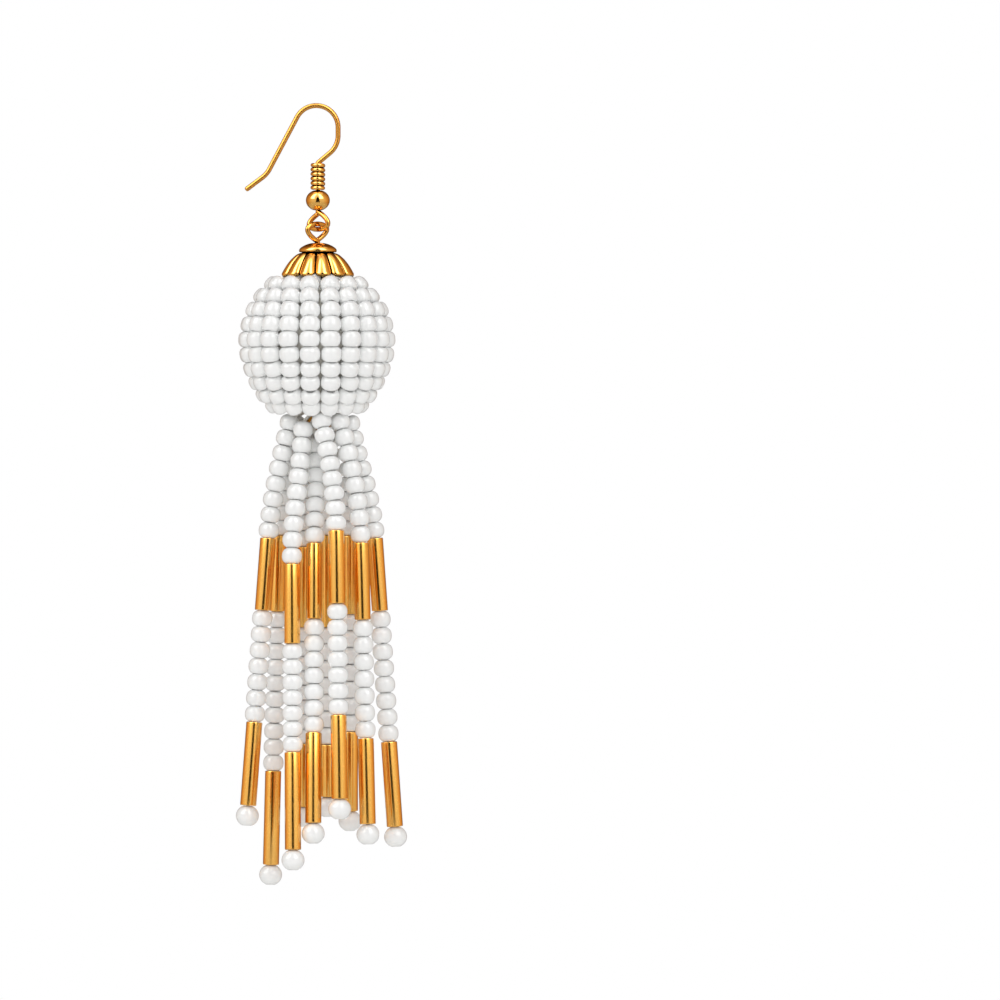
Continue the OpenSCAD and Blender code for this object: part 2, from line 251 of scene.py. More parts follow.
seen = add_node(tent, "ShaderNodeLightPath")
mirrored = add_node(tent, "ShaderNodeBackground", {"Color": lit.outputs[0], "Strength": 1.0})
even = add_node(
    tent, "ShaderNodeBackground", {"Color": glow.outputs["Color"], "Strength": EVEN_GLOW})
inside = add_node(
    tent, "ShaderNodeMixShader",
    {0: seen.outputs["Is Diffuse Ray"], 1: mirrored.outputs[0], 2: even.outputs[0]})
paper = add_node(tent, "ShaderNodeBackground", {"Color": WHITE, "Strength": 1.0})
either = add_node(
    tent, "ShaderNodeMixShader",
    {0: seen.outputs["Is Camera Ray"], 1: inside.outputs[0], 2: paper.outputs[0]})
add_node(tent, "ShaderNodeOutputWorld", {"Surface": either.outputs[0]})
print("tent wall in", len(WALL), "steps round and", len(HEIGHT), "steps up")

# %% [markdown]
# ## Softboxes and floor
#
# Two softboxes above the lens, one on each side, round the white beads. A third from
# behind lights their backs, and a large one at the lens lights the deep gaps between
# them, where only frontal light gets in. The brightness of a softbox, its radiance, is
# its power over pi and its area, so the power comes from the white we want. The floor
# is a pale sheet of paper below the earring, whose edge fades away so that no table
# edge shows.

# %% Softboxes
MIDDLE = Vector((0.2, 0.0, -54.0))   # the point that the softboxes aim at


def softbox(name, azimuth, height, away, size, radiance):
    """A soft light of a radiance. Azimuth 0 stands at the lens, and 90 to the right of it."""
    light = bpy.data.lights.new(name, "AREA")
    light.shape = "RECTANGLE"
    light.size, light.size_y = size[0] * MM, size[1] * MM
    light.energy = radiance * math.pi * light.size * light.size_y
    box = bpy.data.objects.new(name, light)
    a, h = math.radians(azimuth), math.radians(height)
    back = Vector((math.sin(a) * math.cos(h), -math.cos(a) * math.cos(h), math.sin(h)))
    box.location = (MIDDLE + back * away) * MM
    box.rotation_euler = (-back).to_track_quat("-Z", "Y").to_euler()
    box.visible_camera = False
    box.visible_glossy = False
    bpy.context.scene.collection.objects.link(box)


softbox("softbox_left", -56, 34, 480, (300, 260), 1.1)
softbox("softbox_right", 56, 34, 480, (260, 240), 0.85)
softbox("softbox_back", 165, 40, 480, (260, 120), 0.8)
softbox("softbox_front", 0, 0, 560, (300, 300), 3.1)
print("four softboxes at about 500 mm")

# %% Floor
FLOOR_Z = -170.0
FLOOR_RADIUS = 520.0

paper_floor, tree, shader = new_material("matte_white_paper")
shader.inputs["Base Color"].default_value = linear("#F3F2EF")
shader.inputs["Roughness"].default_value = 0.95
place = add_node(tree, "ShaderNodeTexCoord").outputs["Object"]
reach = add_node(tree, "ShaderNodeVectorMath", {0: place}, operation="LENGTH")
fade = add_node(
    tree, "ShaderNodeMapRange",
    {"Value": reach.outputs["Value"], "From Min": 0.25 * FLOOR_RADIUS * MM,
     "From Max": 0.95 * FLOOR_RADIUS * MM}, interpolation_type="SMOOTHSTEP")
clear = add_node(tree, "ShaderNodeBsdfTransparent")
sheet = add_node(
    tree, "ShaderNodeMixShader",
    {0: fade.outputs[0], 1: shader.outputs[0], 2: clear.outputs[0]})
tree.links.new(sheet.outputs[0], tree.nodes["Material Output"].inputs["Surface"])

floor_mesh = bpy.data.meshes.new("paper_floor")
rim = [(math.cos(a) * FLOOR_RADIUS * MM, math.sin(a) * FLOOR_RADIUS * MM, 0.0)
       for a in (math.radians(5 * k) for k in range(72))]
floor_mesh.from_pydata(rim, [], [list(range(72))])
floor_mesh.materials.append(paper_floor)
floor = bpy.data.objects.new("paper_floor", floor_mesh)
floor.location = (0, 0, FLOOR_Z * MM)
bpy.context.scene.collection.objects.link(floor)
print("floor", -FLOOR_Z, "mm under the bend")

# %% [markdown]
# ## Gold-plated brass
#
# The coil, the round bead and the cap are brass, drawn or stamped, and then
# polished and plated with a thin layer of gold. Plating is a metal, so its colour
# is the colour of its reflections and its IOR stays at the default. What tells the
# eye that it is plated and not painted is sharp bright glints beside near-black
# ones. Handling leaves the finest of scratches, so the roughness wavers a little.
# Such findings are dipped dark first and then polished, so a dark finish stays in
# the crevices. An Ambient Occlusion node, which says how open a point lies, darkens
# every crevice: that dark is painted shade as well as finish.

# %% Gold-plated brass
gold_brass, tree, shader = new_material("gold_plated_brass")
place = add_node(tree, "ShaderNodeTexCoord").outputs["Object"]
# Polishing marks are about 0.3 mm long here; real ones are finer than the render can show.
marks = add_node(
    tree, "ShaderNodeTexNoise",
    {"Vector": place, "Scale": 1 / (0.3 * MM), "Detail": 4.0, "Roughness": 0.6})
tint = add_node(
    tree, "ShaderNodeValToRGB", {"Fac": marks.outputs[0]},
    stops=[(0.3, linear("#E8B25C")), (0.7, linear("#EBB763"))])
# Painted shade and dark finish wherever the polishing wheel can't reach, about 1.2 mm deep:
# fully where less than 0.42 of the surroundings is open, and not at all over 0.72.
crevice = add_node(tree, "ShaderNodeAmbientOcclusion", {"Distance": 1.2 * MM}, samples=8)
patina_and_shade = add_node(
    tree, "ShaderNodeMapRange",
    {"Value": crevice.outputs["AO"], "From Min": 0.42, "From Max": 0.72, "To Min": 1.0,
     "To Max": 0.0})
# Painted shade in the deepest lines, kept on the mesh as an attribute that is 1 in a crevice.
painted = add_node(tree, "ShaderNodeAttribute", attribute_name="crevice")
dark = add_node(
    tree, "ShaderNodeMath", {0: patina_and_shade.outputs[0], 1: painted.outputs["Fac"]}, operation="MAXIMUM")
# The tint goes to near black wherever there is painted shade.
surface_tint = add_node(
    tree, "ShaderNodeMix",
    {0: dark.outputs[0], 6: tint.outputs["Color"], 7: linear("#2A1605")}, data_type="RGBA")
polish = add_node(
    tree, "ShaderNodeMapRange",
    {"Value": marks.outputs[0], "From Min": 0.3, "From Max": 0.7, "To Min": 0.05, "To Max": 0.08})
tree.links.new(surface_tint.outputs[2], shader.inputs["Base Color"])
tree.links.new(polish.outputs[0], shader.inputs["Roughness"])
shader.inputs["Metallic"].default_value = 1.0
print(gold_brass.name, "polished to roughness 0.05 to 0.08")

# %% [markdown]
# ## Drawn wire
#
# The ear wire and the pin are plated too, but wire keeps the fine grain of the hole
# it was drawn through, so it is satin: the same gold, with its glints spread wide.
# Where a maker polishes it, the grain goes, so roughness here follows the height.

# %% Drawn gold wire
drawn_wire, tree, shader = new_material("drawn_gold_wire")
place = add_node(tree, "ShaderNodeTexCoord").outputs["Object"]
# The hook is left satin; from 12 to 14 mm down, the linked loops were polished with the cap.
SATIN_HOOK, POLISHED_LOOPS = 0.32, 0.12
rise = add_node(tree, "ShaderNodeSeparateXYZ", {"Vector": place})
satin = add_node(
    tree, "ShaderNodeMapRange",
    {"Value": rise.outputs["Z"], "From Min": -14 * MM, "From Max": -12 * MM,
     "To Min": POLISHED_LOOPS, "To Max": SATIN_HOOK})
tree.links.new(satin.outputs[0], shader.inputs["Roughness"])
shader.inputs["Base Color"].default_value = linear("#D69B4A")
shader.inputs["Metallic"].default_value = 1.0
print(drawn_wire.name, "roughness", SATIN_HOOK, "on the hook,", POLISHED_LOOPS, "on the loops")

# %% [markdown]
# ## Opaque pressed glass
#
# The seed beads are chalk white glass rod, drawn, chopped and tumbled hot until
# the cut edges melt round. Opaque glass scatters light just under its skin, which
# softens the shade, and its fired surface is glossy. No two beads come out quite
# alike, so each one carries a tone of its own, kept on the mesh as an attribute.

# %% Opaque white glass
white_glass, tree, shader = new_material("opaque_white_glass")
tone = add_node(tree, "ShaderNodeAttribute", attribute_name="bead_tone")
place = add_node(tree, "ShaderNodeTexCoord").outputs["Object"]
# Flow of the melt, a faint cloud about 0.8 mm across.
melt = add_node(
    tree, "ShaderNodeTexNoise",
    {"Vector": place, "Scale": 1 / (0.8 * MM), "Detail": 2.0, "Roughness": 0.5})
mixed = add_node(
    tree, "ShaderNodeMath", {0: melt.outputs[0], 1: tone.outputs["Fac"]}, operation="ADD")
body_colour = add_node(
    tree, "ShaderNodeValToRGB", {"Fac": mixed.outputs[0]},
    stops=[(0.2, linear("#F3F4F3")), (1.0, linear("#FCFDFC"))])
tree.links.new(body_colour.outputs["Color"], shader.inputs["Base Color"])
fired = add_node(
    tree, "ShaderNodeMapRange",
    {"Value": melt.outputs[0], "From Min": 0.3, "From Max": 0.7, "To Min": 0.08, "To Max": 0.14})
tree.links.new(fired.outputs[0], shader.inputs["Roughness"])
shader.inputs["IOR"].default_value = 1.52
shader.inputs["Specular IOR Level"].default_value = 0.5
shader.inputs["Subsurface Weight"].default_value = 0.7
shader.inputs["Subsurface Radius"].default_value = (1.0, 1.0, 1.0)
shader.inputs["Subsurface Scale"].default_value = 0.7 * MM
print(white_glass.name, "IOR 1.52")

# %% [markdown]
# ## Gold-coated bugle glass
#
# A bugle is a long piece of the same kind of glass cane, coated with a bright gold
# film and fired. Film on glass is smooth but never as flat as polished metal, and
# the cane was drawn lengthwise, so its faint unevenness runs along the tube. The
# clear fired skin over the film adds a little plain white to each reflection,
# which is why the stripes on a bugle are paler than its sides.

# %% Gold-coated glass
gold_glass, tree, shader = new_material("gold_coated_glass")
place = add_node(tree, "ShaderNodeTexCoord").outputs["Object"]
# Draw lines: 0.25 mm apart round the cane, 6 mm long. Z is along each tube.
stretched = add_node(
    tree, "ShaderNodeVectorMath",
    {0: place, 1: (1 / (0.25 * MM), 1 / (0.25 * MM), 1 / (6 * MM))}, operation="MULTIPLY")
lines = add_node(
    tree, "ShaderNodeTexNoise",
    {"Vector": stretched.outputs[0], "Scale": 1.0, "Detail": 2.0, "Roughness": 0.5})
film = add_node(
    tree, "ShaderNodeValToRGB", {"Fac": lines.outputs[0]},
    stops=[(0.3, linear("#F5B64F")), (0.7, linear("#FBC05C"))])
satin = add_node(
    tree, "ShaderNodeMapRange",
    {"Value": lines.outputs[0], "From Min": 0.3, "From Max": 0.7, "To Min": 0.17, "To Max": 0.23})
wave = add_node(tree, "ShaderNodeBump", {"Height": lines.outputs[0], "Strength": 0.05,
                                         "Distance": 0.02 * MM})
tree.links.new(film.outputs["Color"], shader.inputs["Base Color"])
tree.links.new(satin.outputs[0], shader.inputs["Roughness"])
tree.links.new(wave.outputs[0], shader.inputs["Normal"])
shader.inputs["Metallic"].default_value = 1.0
shader.inputs["Coat Weight"].default_value = 1.0
shader.inputs["Coat Roughness"].default_value = 0.08
shader.inputs["Coat IOR"].default_value = 1.5
print(gold_glass.name, "with a clear fired skin")

# %% [markdown]
# ## Thread and core
#
# Nylon beading thread is two fine plies twisted together, waxed, so it is smooth
# but not shiny. It shows only where two beads leave a crack. The core of the ball
# is a turned wooden bead painted pale grey, so that the gaps of the net look deep.

# %% Thread and painted wood
nylon_thread, tree, shader = new_material("waxed_nylon_thread")
place = add_node(tree, "ShaderNodeTexCoord").outputs["Object"]
# Two plies, one twist in 0.6 mm. A diagonal wave of scale 1 repeats about every 0.6 units.
twist = add_node(
    tree, "ShaderNodeTexWave", {"Vector": place, "Scale": 0.6 / (0.6 * MM), "Distortion": 1.0},
    bands_direction="DIAGONAL")
ply = add_node(
    tree, "ShaderNodeValToRGB", {"Fac": twist.outputs["Fac"]},
    stops=[(0.0, linear("#D9D5CC")), (1.0, linear("#F2F0EA"))])
ply_bump = add_node(tree, "ShaderNodeBump", {"Height": twist.outputs["Fac"], "Strength": 0.5,
                                             "Distance": 0.05 * MM})
tree.links.new(ply.outputs["Color"], shader.inputs["Base Color"])
tree.links.new(ply_bump.outputs[0], shader.inputs["Normal"])
shader.inputs["Roughness"].default_value = 0.6

painted_wood, tree, shader = new_material("painted_wood")
place = add_node(tree, "ShaderNodeTexCoord").outputs["Object"]
# Wood pores under the paint: 0.2 mm across and 2 mm long, along the drill hole.
grain_place = add_node(
    tree, "ShaderNodeVectorMath",
    {0: place, 1: (1 / (0.2 * MM), 1 / (0.2 * MM), 1 / (2 * MM))}, operation="MULTIPLY")
grain = add_node(
    tree, "ShaderNodeTexNoise",
    {"Vector": grain_place.outputs[0], "Scale": 1.0, "Detail": 3.0, "Roughness": 0.6})
paint = add_node(
    tree, "ShaderNodeValToRGB", {"Fac": grain.outputs[0]},
    stops=[(0.3, linear("#E6E2D8")), (0.7, linear("#EFECE4"))])
pores = add_node(tree, "ShaderNodeBump", {"Height": grain.outputs[0], "Strength": 0.4,
                                          "Distance": 0.05 * MM})
tree.links.new(paint.outputs["Color"], shader.inputs["Base Color"])
tree.links.new(pores.outputs[0], shader.inputs["Normal"])
shader.inputs["Roughness"].default_value = 0.55
for node, material in (("ball_core", painted_wood), ("thread_collar", nylon_thread)):
    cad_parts[node].data.materials.clear()
    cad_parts[node].data.materials.append(material)
print("ball_core and thread_collar keep their CAD shapes")

# %% [markdown]
# ## Making pieces
#
# Nearly every part of this earring is either a wire bent along a path or a body
# turned round an axis. A wire is a Blender curve with a round bevel. A turned body
# is an outline of radius and height pairs, spun about Z by a few lines of numpy,
# which also set many copies of one bead down at once as a single joined mesh.

# %% Pieces
def settle(piece, material, body, slot, *nodes):
    """Puts a piece in the scene: its finish, its body and the solids it stands for; slot is not
    used.
    """
    bpy.context.scene.collection.objects.link(piece)
    piece.data.materials.append(material)
    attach(piece, body)
    if nodes:
        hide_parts(*nodes)
    return piece


# A filed end: how far in from the tip, in wire radii, and the share of the radius there.
FILED_END = [(0.0, 0.35), (0.06, 0.55), (0.2, 0.76), (0.45, 0.93), (0.8, 1.0)]


def filed(points, radius):
    """Points of a wire and the share of its radius at each, with both ends filed round."""
    points = [Vector(p) for p in points]
    shares = [1.0] * len(points)
    for _ in range(2):
        end, along = points[0], (points[1] - points[0]).normalized()
        while (points[1] - end).length < radius:
            del points[1], shares[1]
        points[0:1] = [end + along * radius * f for f, _ in FILED_END]
        shares[0:1] = [share for _, share in FILED_END]
        points.reverse()
        shares.reverse()
    return points, shares


def wire(name, points, radius):
    """A round wire through points in millimetres, as a curve with a round bevel."""
    points, shares = filed(points, radius)
    curve = bpy.data.curves.new(name, "CURVE")
    curve.dimensions = "3D"
    curve.bevel_depth = radius * MM
    curve.bevel_resolution = 6
    curve.use_fill_caps = True
    spline = curve.splines.new("POLY")
    spline.points.add(len(points) - 1)
    for bend, p, share in zip(spline.points, points, shares):
        bend.co = (*(p * MM), 1.0)
        bend.radius = share
    spline.use_smooth = True
    return bpy.data.objects.new(name, curve)


def turned(outline, sides):
    """Spins a closed outline, anticlockwise (radius, height) pairs, into points and faces."""
    outline = np.array(outline, float)
    n = len(outline)
    a = np.arange(sides) * 2 * math.pi / sides
    points = np.stack([
        outline[:, :1] * np.cos(a), outline[:, :1] * np.sin(a),
        np.repeat(outline[:, 1:], sides, axis=1)], axis=-1).reshape(-1, 3)
    i, k = np.meshgrid(np.arange(n), np.arange(sides), indexing="ij")
    j, m = (i + 1) % n, (k + 1) % sides
    faces = np.stack([i * sides + k, i * sides + m, j * sides + m, j * sides + k], axis=-1)
    return points, faces.reshape(-1, 4)


def body_of_mesh(name, points, faces, marks=None, attribute="bead_tone"):
    """A smooth mesh object from points in millimetres, with a mark for each point if given."""
    mesh = bpy.data.meshes.new(name)
    mesh.from_pydata((np.asarray(points) * MM).tolist(), [], np.asarray(faces).tolist())
    mesh.shade_smooth()
    if marks is not None:
        mesh.attributes.new(attribute, "FLOAT", "POINT").data.foreach_set(
            "value", np.asarray(marks, np.float32))
    return bpy.data.objects.new(name, mesh)


def upright_along(axis, spin=0.0):
    """The rotation, three rows of numbers, that turns Z to an axis after a spin about Z."""
    turn = Vector((0, 0, 1)).rotation_difference(Vector(axis)).to_matrix()
    return np.array(turn @ Matrix.Rotation(spin, 3, "Z"))


print("helpers ready")

# %% [markdown]
# ## The ear wire
#
# A French hook is one length of 0.7 mm wire: a flicked tip, a straight shaft, a
# round bend for the ear, and then a neck that runs down through the coil and the
# bead to a turned loop. A maker bends it with round-nosed pliers, so every bend is
# an arc. Each row below is one straight length, then a turn in degrees, then the
# radius of that turn, all in millimetres and in the order the pliers work.

# %% Bending wire
WIRE_R = 0.35
BEND_R = 3.05
SHAFT_BENDS = [(0, 62, BEND_R), (8.25, -25, 3.5), (2.95, 0, 1)]
NECK_BENDS = [(0, -90, BEND_R), (1.123, -50, 3.2), (2.017, 50, 0.4)]


def bent(x, z, heading, rows, step=3.0):
    """Points of a wire bent in the X-Z plane: rows of straight length, turn, radius."""
    points = []
    a = math.radians(heading)
    for straight, turn, radius in rows:
        if straight > 0:
            x, z = x + straight * math.cos(a), z + straight * math.sin(a)
            points.append((x, z))
        steps = math.ceil(abs(turn) / step)
        way = math.copysign(1, turn)
        for k in range(1, steps + 1):
            b = a + math.radians(turn) * k / steps
            points.append((x + way * radius * (math.sin(b) - math.sin(a)),
                           z - way * radius * (math.cos(b) - math.cos(a))))
        if steps:
            x, z = points[-1]
            a += math.radians(turn)
    return points


shaft = bent(0, WIRE_R, 180, SHAFT_BENDS)
neck = bent(0, WIRE_R, 0, NECK_BENDS)
STEM_X = neck[-1][0]
print("stem at x =", round(STEM_X, 4), "mm, lowest bend at", round(neck[-1][1], 3), "mm")

# %% [markdown]
# ## Heights down the stem
#
# Coil, bead, loops, cap and ball hang in one line under the bend. Each height
# follows from the piece above it, as in the CAD source, so that the visual pieces
# sit exactly on the solids they stand for.

# %% Heights
COIL_WIRE, COIL_GAP, COIL_H = 0.56, 0.13, 3.838
HOOK_BEAD = (3.36, 2.76)       # diameter and height
LOOP_HALF = (1.75, 1.25)       # half width and half height of the two linked loops
LOOP_TURN = 36
LOW_EYE_HALF = (1.5, 1.3)      # the same for the pin's lower eye, under the ball
LINK_GAP = 0.06
BORE_GAP = 0.1                 # between the wire and the hole of its bead
CAP_R, CAP_H, CAP_WALL = 5.12, 4.85, 0.4
BALL_Z, CORE_R = -33.1, 8.1
COLLAR_R, COLLAR_H = 1.5, 1.0
COIL_RISE = 0.2                # the coil starts this far up the bend over it
COIL_TO_BEAD, BEAD_TO_LOOP, EYE_TO_CAP = 0.02, 0.18, 0.16
CORE_TO_COLLAR, COLLAR_TO_EYE = 0.1, 0.15

coil_top = neck[-1][1] + COIL_RISE
coil_bottom = coil_top - COIL_H
hook_bead_z = coil_bottom - COIL_TO_BEAD - HOOK_BEAD[1] / 2
hook_neck = hook_bead_z - HOOK_BEAD[1] / 2 - BEAD_TO_LOOP
pivot_z = hook_neck - 2 * LOOP_HALF[1]
eye_neck = pivot_z + 2 * WIRE_R + LINK_GAP - 2 * LOOP_HALF[1]
cap_top = eye_neck - EYE_TO_CAP
collar_top = BALL_Z - CORE_R - CORE_TO_COLLAR
low_neck = collar_top - COLLAR_H - COLLAR_TO_EYE
print("bead", round(hook_bead_z, 2), "pivot", round(pivot_z, 2), "cap", round(cap_top, 2))

# %% [markdown]
# ## Two linked loops
#
# The lower end of the ear wire and the upper end of the pin are turned into loops
# that hang in each other. Pliers close a loop by laying the end of the wire beside
# its start, so it is a drop shape whose end slips sideways by one wire thickness.
# Each loop is turned a little about the stem, one each way, as a linked pair sits.

# %% Loops and the two wires
LOOP_END, LOOP_STEPS = 325, 64
TEARDROP_WIDTH = 0.77
LOOP_LAP = 2 * WIRE_R + 0.05


def ease(t):
    """A soft start and stop between 0 and 1."""
    t = min(max(t, 0.0), 1.0)
    return t * t * (3 - 2 * t)


def loop(z, half, turn, way):
    """Points of a loop that hangs from height z (way 1) or stands on it (way -1)."""
    points = []
    c, s = math.cos(math.radians(turn)), math.sin(math.radians(turn))
    for k in range(LOOP_STEPS + 1):
        t = LOOP_END * k / LOOP_STEPS
        r = math.radians(t)
        x = way * half[0] / TEARDROP_WIDTH * math.sin(r) * math.sin(r / 2)
        y = LOOP_LAP * ease((t - 180) / 150)
        points.append((STEM_X + x * c - y * s, x * s + y * c,
                       z + way * half[1] * (math.cos(r) - 1)))
    return points


hook_path = [(x, 0.0, z) for x, z in [*reversed(shaft), (0, WIRE_R), *neck]]
hook_path += loop(hook_neck, LOOP_HALF, -LOOP_TURN, 1)
settle(wire("french_hook_wire", hook_path, WIRE_R), drawn_wire, "hook", "gold_plate", "ear_wire")

pin_path = list(reversed(loop(eye_neck, LOOP_HALF, LOOP_TURN, -1)))
pin_path += loop(low_neck, LOW_EYE_HALF, 0, 1)
settle(wire("two_eyed_pin", pin_path, WIRE_R), drawn_wire, "drop", "gold_plate", "eye_pin")
print("ear wire", len(hook_path), "points, pin", len(pin_path), "points")

# %% [markdown]
# ## Coil and round bead
#
# The coil is fine wire wound tight on the neck: a helix, cut off at both ends. Its
# turns nearly touch, which gives six bright ridges. Below it sits a hollow round
# metal bead, pressed from sheet, a little wider than high, with the wire through
# its hole. The hole has a tiny turned-in edge, drawn here as a rounded corner.

# %% Coil and bead
COIL_STEPS = 40
COIL_RIDGES = 6
COIL_LAP = 0.25              # share of a turn by which each end runs on round the side
coil_r = WIRE_R + COIL_GAP + COIL_WIRE / 2
coil_pitch = (COIL_H - COIL_WIRE - 0.10) / (COIL_RIDGES - 1)
first_ridge = (coil_top + coil_bottom) / 2 + coil_pitch * (COIL_RIDGES - 1) / 2
coil_path = []
coil_turns = COIL_RIDGES - 1 + 2 * COIL_LAP
for k in range(int(coil_turns * COIL_STEPS) + 1):
    u = k / COIL_STEPS - COIL_LAP
    # Each turn lies nearly level in front and steps down to the next one at the back.
    off = u - round(u)
    drop = 0.2 * off + math.copysign(0.4 * ease((abs(off) - 0.2) / 0.3), off)
    a = 2 * math.pi * (u - 0.25)
    coil_path.append((STEM_X + coil_r * math.cos(a), coil_r * math.sin(a),
                      first_ridge - coil_pitch * (round(u) + drop)))
settle(wire("wound_coil", coil_path, COIL_WIRE / 2), gold_brass, "hook", "gold_plate", "wire_coil")


def oval_outline(radius, height, hole, crest, squareness, steps=(14, 6)):
    """The outline of a bead: round outside, its crest near the hole, a straight bore."""
    outline = []
    # The oval is cut off where it is as narrow as its crest, and is as high as the bead there.
    last = math.acos((crest / radius) ** (squareness / 2))
    full = height / 2 / math.sin(last) ** (2 / squareness)
    for k in range(steps[0] + 1):
        t = last * (2 * k / steps[0] - 1)
        outline.append((radius * math.cos(t) ** (2 / squareness),
                        full * math.copysign(abs(math.sin(t)) ** (2 / squareness), t)))
    for k in range(1, steps[1]):
        t = math.pi * (k / steps[1] - 0.5)
        outline.append((crest - (crest - hole) * abs(math.cos(t)) ** 0.5,
                        -height / 2 * math.copysign(abs(math.sin(t)) ** 0.8, t)))
    return outline


points, faces = turned(
    oval_outline(HOOK_BEAD[0] / 2, HOOK_BEAD[1], WIRE_R + BORE_GAP, 0.58, 2.0, (28, 8)), 64)
# Painted shade round the hole, up to 0.62 mm from the axis, fading out by 0.92 mm.
shade = np.clip(1.0 - (np.hypot(points[:, 0], points[:, 1]) - 0.62) / 0.3, 0.0, 1.0)
points += (STEM_X, 0, hook_bead_z)
settle(body_of_mesh("round_metal_bead", points, faces, 0.85 * shade, "crevice"), gold_brass,
       "hook", "gold_plate", "hook_bead")
print("coil", len(coil_path), "points, bead", len(faces), "faces")

# %% [markdown]
# ## The petal cap
#
# The cap is stamped from thin brass: a small smooth dome with a lip, and below it
# twelve petals that swell outwards between narrow grooves and end in a scalloped
# rim. The grooves and a band under the lip are darkened with painted shade. One
# outline gives the radius and depth from top to rim; round the cap, a second rule
# pulls the surface in towards each groove. The sheet is closed by the same outline,
# one wall thickness further in, so the rim has a real edge.

# %% Petal cap
PETALS = 12
PETAL_TURN = 11
SCALLOP = 0.4
# Radius as a share of the cap's, depth as a share of its height, groove depth in mm.
CAP_LINE = [(0.10, 0.000, 0), (0.18, 0.008, 0), (0.26, 0.027, 0), (0.335, 0.056, 0),
            (0.40, 0.090, 0), (0.452, 0.124, 0), (0.488, 0.156, 0), (0.510, 0.190, 0),
            (0.517, 0.226, 0), (0.512, 0.250, 0), (0.492, 0.266, 0), (0.455, 0.272, 0.10),
            (0.440, 0.280, 0.28), (0.455, 0.288, 0.40), (0.500, 0.298, 0.50),
            (0.555, 0.320, 0.60), (0.615, 0.360, 0.68), (0.672, 0.410, 0.74),
            (0.736, 0.474, 0.80), (0.797, 0.550, 0.85), (0.853, 0.628, 0.89),
            (0.905, 0.712, 0.92), (0.948, 0.788, 0.94), (0.972, 0.838, 0.95)]
EDGE_R = 0.42                # the petals' ends are rolled in with this radius
# Depth as a share of the cap's height, and where across a petal the painted groove shade
# starts; just under the lip it covers the whole way round.
DARK_FROM = [(0.26, 1.5), (0.275, -0.5), (0.292, -0.5), (0.305, 0.45), (0.36, 0.72), (0.5, 0.80),
             (0.9, 0.86), (1.0, 1.0), (1.1, 1.5)]


def groove(f):
    """How far the surface is pulled in across one petal: f is 0 on its crest, 1 in the groove.

    Most of it is the petal's round back, and the rest a sharp crease close to the groove."""
    swell = (1 - math.sqrt(1 - 0.86 * f * f)) / (1 - math.sqrt(1 - 0.86))
    return 0.78 * swell + 0.22 * max(0.0, (f - 0.82) / 0.18) ** 1.5


def petal_sheet(petal_steps=32):
    """Points, faces and painted shade marks of the whole cap, outside, rim and inside."""
    around = PETALS * petal_steps
    line = [(r * CAP_R, cap_top - d * CAP_H, g) for r, d, g in CAP_LINE]
    foot = CAP_R - EDGE_R, cap_top - CAP_H + EDGE_R
    for degrees in range(-27, 165, 12):
        t = math.radians(degrees)
        line.append((foot[0] + EDGE_R * math.cos(t), foot[1] - EDGE_R * math.sin(t), 0.94))
    for r, d, g in reversed(CAP_LINE[15:-2]):
        line.append((r * CAP_R - CAP_WALL - 0.15, cap_top - d * CAP_H - 0.15, g * 0.7))
    # Inside, the sheet closes over the top of the ball to the hole for the pin.
    line += [(2.2, cap_top - 0.33 * CAP_H, 0.0), (1.3, cap_top - 0.29 * CAP_H, 0.0),
             (0.10 * CAP_R, cap_top - 0.27 * CAP_H, 0.0)]
    points, marks = [], []
    for r, z, depth in line:
        height_share = min(max((cap_top - z) / CAP_H, 0.0), 1.0)
        dark_from = np.interp(height_share, *zip(*DARK_FROM))
        for k in range(around):
            a = math.radians(PETAL_TURN - 90 + 360 * (k - petal_steps / 2) / around)
            f = abs(2 * (k % petal_steps) / petal_steps - 1)
            # Painted shade: 1 in each groove between petals, and all round just under the lip.
            marks.append(min(max((f - dark_from) / 0.10, 0.0), 1.0))
            g = groove(f)
            lift = SCALLOP * g * height_share ** 6
            reach = r - depth * g
            points.append((STEM_X + reach * math.cos(a), reach * math.sin(a), z + lift))
    n = len(line)
    i, k = np.meshgrid(np.arange(n), np.arange(around), indexing="ij")
    j, m = (i + 1) % n, (k + 1) % around
    faces = np.stack([i * around + k, j * around + k, j * around + m, i * around + m], axis=-1)
    return points, faces.reshape(-1, 4), marks


points, faces, marks = petal_sheet()
settle(body_of_mesh("petal_cap", points, faces, marks, "crevice"), gold_brass, "drop", "gold_plate",
       "bead_cap")
print("cap", len(faces), "faces in", PETALS, "petals")

# %% [markdown]
# ## The beaded ball
#
# Seed beads are sewn round the core in rings, with their holes pointing from the
# cap to the tassel, so neighbouring rings read as columns. Each ring has its own
# radius and height, and as many beads as fit round it: twenty round the middle,
# fewer near the ends. The first ring lies hidden under the cap and closes the view in
# between its petals. The lower rings were pulled down at the front as they were sewn,
# so they tip by a few degrees. Beads vary, so each gets a small change of size, a
# small tilt and a tone of its own. All of them become one joined mesh.

